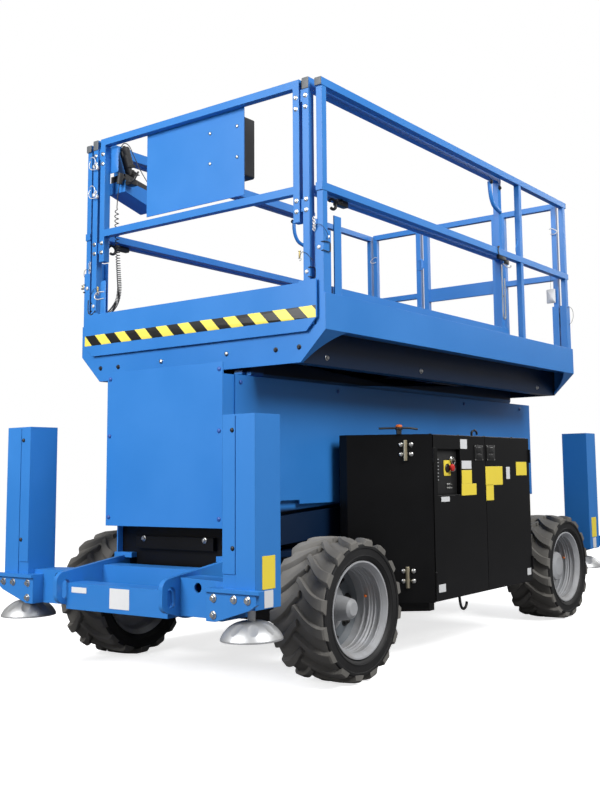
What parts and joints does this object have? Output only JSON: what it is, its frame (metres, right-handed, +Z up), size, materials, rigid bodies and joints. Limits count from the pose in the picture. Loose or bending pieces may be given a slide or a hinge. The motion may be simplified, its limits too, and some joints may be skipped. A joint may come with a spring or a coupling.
{
  "type": "scissor lift",
  "caption": "Electric rough-ground scissor lift with outriggers, side modules, a railed platform and a sliding deck extension.",
  "frame": {"origin": "on the ground, in the middle of the overall length and width", "axes": "+X forward, towards the steered wheels; +Y to the machine's left; +Z up"},
  "size_m": [3.76, 1.7586, 2.8043],
  "materials": {
    "blue_paint": "gloss powder coat",
    "black_paint": "semi-matt black",
    "rim_paint": "silver-grey rim paint",
    "galvanised": "galvanised",
    "tyre_rubber": "dusty rubber",
    "chrome_rod": "polished rod",
    "battery_case": "moulded case",
    "cord_jacket": "matt jacket",
    "control_plastic": "textured plastic"
  },
  "bodies": {
    "chassis": {"chassis_frame": "blue_paint", "side_walls": "blue_paint", "front_panel": "blue_paint", "outrigger_beams": "blue_paint", "outrigger_columns": "blue_paint", "front_bulkhead": "black_paint", "module_trays": "black_paint", "battery_packs": "battery_case", "ground_controls": "control_plastic", "rear_ladder": "blue_paint", "rear_axle": "black_paint", "front_axle": "black_paint"},
    "knuckle_left": {"knuckle_left": "black_paint"},
    "knuckle_right": {"knuckle_right": "black_paint"},
    "steer_rod": {"steer_rod": "chrome_rod"},
    "wheel_front_left": {"tyre_front_left": "tyre_rubber", "rim_front_left": "rim_paint"},
    "wheel_front_right": {"tyre_front_right": "tyre_rubber", "rim_front_right": "rim_paint"},
    "wheel_rear_left": {"tyre_rear_left": "tyre_rubber", "rim_rear_left": "rim_paint"},
    "wheel_rear_right": {"tyre_rear_right": "tyre_rubber", "rim_rear_right": "rim_paint"},
    "leg_front_left": {"outrigger_leg_front_left": "galvanised"},
    "leg_front_right": {"outrigger_leg_front_right": "galvanised"},
    "leg_rear_left": {"outrigger_leg_rear_left": "galvanised"},
    "leg_rear_right": {"outrigger_leg_rear_right": "galvanised"},
    "door_left_front": {"door_left_front": "black_paint"},
    "door_left_rear": {"door_left_rear": "black_paint"},
    "door_right_front": {"door_right_front": "black_paint"},
    "door_right_rear": {"door_right_rear": "black_paint"},
    "arms_outer_1": {"arms_outer_1": "blue_paint"},
    "arms_inner_1": {"arms_inner_1": "blue_paint"},
    "arms_outer_2": {"arms_outer_2": "blue_paint"},
    "arms_inner_2": {"arms_inner_2": "blue_paint"},
    "arms_outer_3": {"arms_outer_3": "blue_paint"},
    "arms_inner_3": {"arms_inner_3": "blue_paint"},
    "arms_outer_4": {"arms_outer_4": "blue_paint"},
    "arms_inner_4": {"arms_inner_4": "blue_paint"},
    "arms_outer_5": {"arms_outer_5": "blue_paint"},
    "arms_inner_5": {"arms_inner_5": "blue_paint"},
    "lift_cylinder_barrel": {"lift_cylinder_barrel": "black_paint"},
    "lift_cylinder_rod": {"lift_cylinder_rod": "chrome_rod"},
    "platform": {"platform_deck": "blue_paint", "platform_rails_side": "blue_paint", "platform_rails_rear": "blue_paint"},
    "gate": {"entry_gate": "blue_paint"},
    "extension": {"extension_deck": "blue_paint", "extension_rails": "blue_paint", "front_sheet": "blue_paint", "manual_box": "control_plastic", "control_cradle": "blue_paint", "joystick_handset": "control_plastic", "control_cord": "cord_jacket"}
  },
  "joints": [
    {"name": "steer_left", "type": "hinge", "parent": "chassis", "child": "knuckle_left", "pos_m": [1.125, 0.5, 0.3275], "axis": [0, 0, 1], "range_deg": [-30, 30]},
    {"name": "steer_right", "type": "hinge", "parent": "chassis", "child": "knuckle_right", "pos_m": [1.125, -0.5, 0.3275], "axis": [0, 0, 1], "range_deg": [-30.1, 30.1]},
    {"name": "steer_rod_slide", "type": "slide", "parent": "chassis", "child": "steer_rod", "axis": [0, 1, 0], "range_m": [-0.073, 0.073]},
    {"name": "spin_front_left", "type": "hinge", "parent": "knuckle_left", "child": "wheel_front_left", "pos_m": [1.125, 0.722, 0.325], "axis": [0, 1, 0], "continuous": true},
    {"name": "spin_front_right", "type": "hinge", "parent": "knuckle_right", "child": "wheel_front_right", "pos_m": [1.125, -0.722, 0.325], "axis": [0, 1, 0], "continuous": true},
    {"name": "spin_rear_left", "type": "hinge", "parent": "chassis", "child": "wheel_rear_left", "pos_m": [-1.165, 0.722, 0.325], "axis": [0, 1, 0], "continuous": true},
    {"name": "spin_rear_right", "type": "hinge", "parent": "chassis", "child": "wheel_rear_right", "pos_m": [-1.165, -0.722, 0.325], "axis": [0, 1, 0], "continuous": true},
    {"name": "outrigger_front_left", "type": "slide", "parent": "chassis", "child": "leg_front_left", "axis": [0, 0, -1], "range_m": [0, 0.45]},
    {"name": "outrigger_front_right", "type": "slide", "parent": "chassis", "child": "leg_front_right", "axis": [0, 0, -1], "range_m": [0, 0.45]},
    {"name": "outrigger_rear_left", "type": "slide", "parent": "chassis", "child": "leg_rear_left", "axis": [0, 0, -1], "range_m": [0, 0.45]},
    {"name": "outrigger_rear_right", "type": "slide", "parent": "chassis", "child": "leg_rear_right", "axis": [0, 0, -1], "range_m": [0, 0.45]},
    {"name": "door_left_front_hinge", "type": "hinge", "parent": "chassis", "child": "door_left_front", "pos_m": [0.486, 0.8723, 0.71], "axis": [0, 0, -1], "range_deg": [0, 110]},
    {"name": "door_left_rear_hinge", "type": "hinge", "parent": "chassis", "child": "door_left_rear", "pos_m": [-0.636, 0.8723, 0.71], "axis": [0, 0, 1], "range_deg": [0, 110]},
    {"name": "door_right_front_hinge", "type": "hinge", "parent": "chassis", "child": "door_right_front", "pos_m": [0.486, -0.8723, 0.71], "axis": [0, 0, 1], "range_deg": [0, 110]},
    {"name": "door_right_rear_hinge", "type": "hinge", "parent": "chassis", "child": "door_right_rear", "pos_m": [-0.636, -0.8723, 0.71], "axis": [0, 0, -1], "range_deg": [0, 110]},
    {"name": "lift", "type": "hinge", "parent": "chassis", "child": "arms_outer_1", "pos_m": [1.255, 0, 0.66], "axis": [0, 1, 0], "range_deg": [0, 56.8]},
    {"name": "cross_1", "type": "hinge", "parent": "arms_outer_1", "child": "arms_inner_1", "pos_m": [-0.04254, 0, 0.74], "axis": [0, 1, 0], "range_deg": [-113.7, 0.1]},
    {"name": "climb_2", "type": "hinge", "parent": "arms_inner_1", "child": "arms_outer_2", "pos_m": [1.255, 0, 0.82], "axis": [0, 1, 0], "range_deg": [-0.1, 113.7]},
    {"name": "cross_2", "type": "hinge", "parent": "arms_outer_2", "child": "arms_inner_2", "pos_m": [-0.04254, 0, 0.9], "axis": [0, 1, 0], "range_deg": [-113.7, 0.1]},
    {"name": "climb_3", "type": "hinge", "parent": "arms_inner_2", "child": "arms_outer_3", "pos_m": [1.255, 0, 0.98], "axis": [0, 1, 0], "range_deg": [-0.1, 113.7]},
    {"name": "cross_3", "type": "hinge", "parent": "arms_outer_3", "child": "arms_inner_3", "pos_m": [-0.04254, 0, 1.06], "axis": [0, 1, 0], "range_deg": [-113.7, 0.1]},
    {"name": "climb_4", "type": "hinge", "parent": "arms_inner_3", "child": "arms_outer_4", "pos_m": [1.255, 0, 1.14], "axis": [0, 1, 0], "range_deg": [-0.1, 113.7]},
    {"name": "cross_4", "type": "hinge", "parent": "arms_outer_4", "child": "arms_inner_4", "pos_m": [-0.04254, 0, 1.22], "axis": [0, 1, 0], "range_deg": [-113.7, 0.1]},
    {"name": "climb_5", "type": "hinge", "parent": "arms_inner_4", "child": "arms_outer_5", "pos_m": [1.255, 0, 1.3], "axis": [0, 1, 0], "range_deg": [-0.1, 113.7]},
    {"name": "cross_5", "type": "hinge", "parent": "arms_outer_5", "child": "arms_inner_5", "pos_m": [-0.04254, 0, 1.38], "axis": [0, 1, 0], "range_deg": [-113.7, 0.1]},
    {"name": "barrel_pivot", "type": "hinge", "parent": "arms_inner_1", "child": "lift_cylinder_barrel", "pos_m": [0.5154, 0, 0.7744], "axis": [0, 1, 0], "range_deg": [-0.1, 120.9]},
    {"name": "rod_slide", "type": "slide", "parent": "lift_cylinder_barrel", "child": "lift_cylinder_rod", "axis": [-0.9963, 0, 0.0862], "range_m": [-0.001, 0.335]},
    {"name": "platform_level", "type": "hinge", "parent": "arms_inner_5", "child": "platform", "pos_m": [1.255, 0, 1.46], "axis": [0, 1, 0], "range_deg": [-0.1, 56.9]},
    {"name": "gate_hinge", "type": "hinge", "parent": "platform", "child": "gate", "pos_m": [-1.396, -0.3225, 2.2], "axis": [0, 0, -1], "range_deg": [0, 90]},
    {"name": "extension_slide", "type": "slide", "parent": "platform", "child": "extension", "axis": [1, 0, 0], "range_m": [0, 1.52]}
  ],
  "couplings": [
    {"joint": "steer_right", "follows": "steer_left", "ratio": 1},
    {"joint": "steer_rod_slide", "follows": "steer_left", "m_per_rad": -0.137},
    {"joint": "cross_1", "follows": "lift", "ratio": -2},
    {"joint": "climb_2", "follows": "lift", "ratio": 2},
    {"joint": "cross_2", "follows": "lift", "ratio": -2},
    {"joint": "climb_3", "follows": "lift", "ratio": 2},
    {"joint": "cross_3", "follows": "lift", "ratio": -2},
    {"joint": "climb_4", "follows": "lift", "ratio": 2},
    {"joint": "cross_4", "follows": "lift", "ratio": -2},
    {"joint": "climb_5", "follows": "lift", "ratio": 2},
    {"joint": "cross_5", "follows": "lift", "ratio": -2},
    {"joint": "barrel_pivot", "follows": "lift", "ratio": 2.125},
    {"joint": "rod_slide", "follows": "lift", "m_per_rad": 0.33},
    {"joint": "platform_level", "follows": "lift", "ratio": 1}
  ]
}
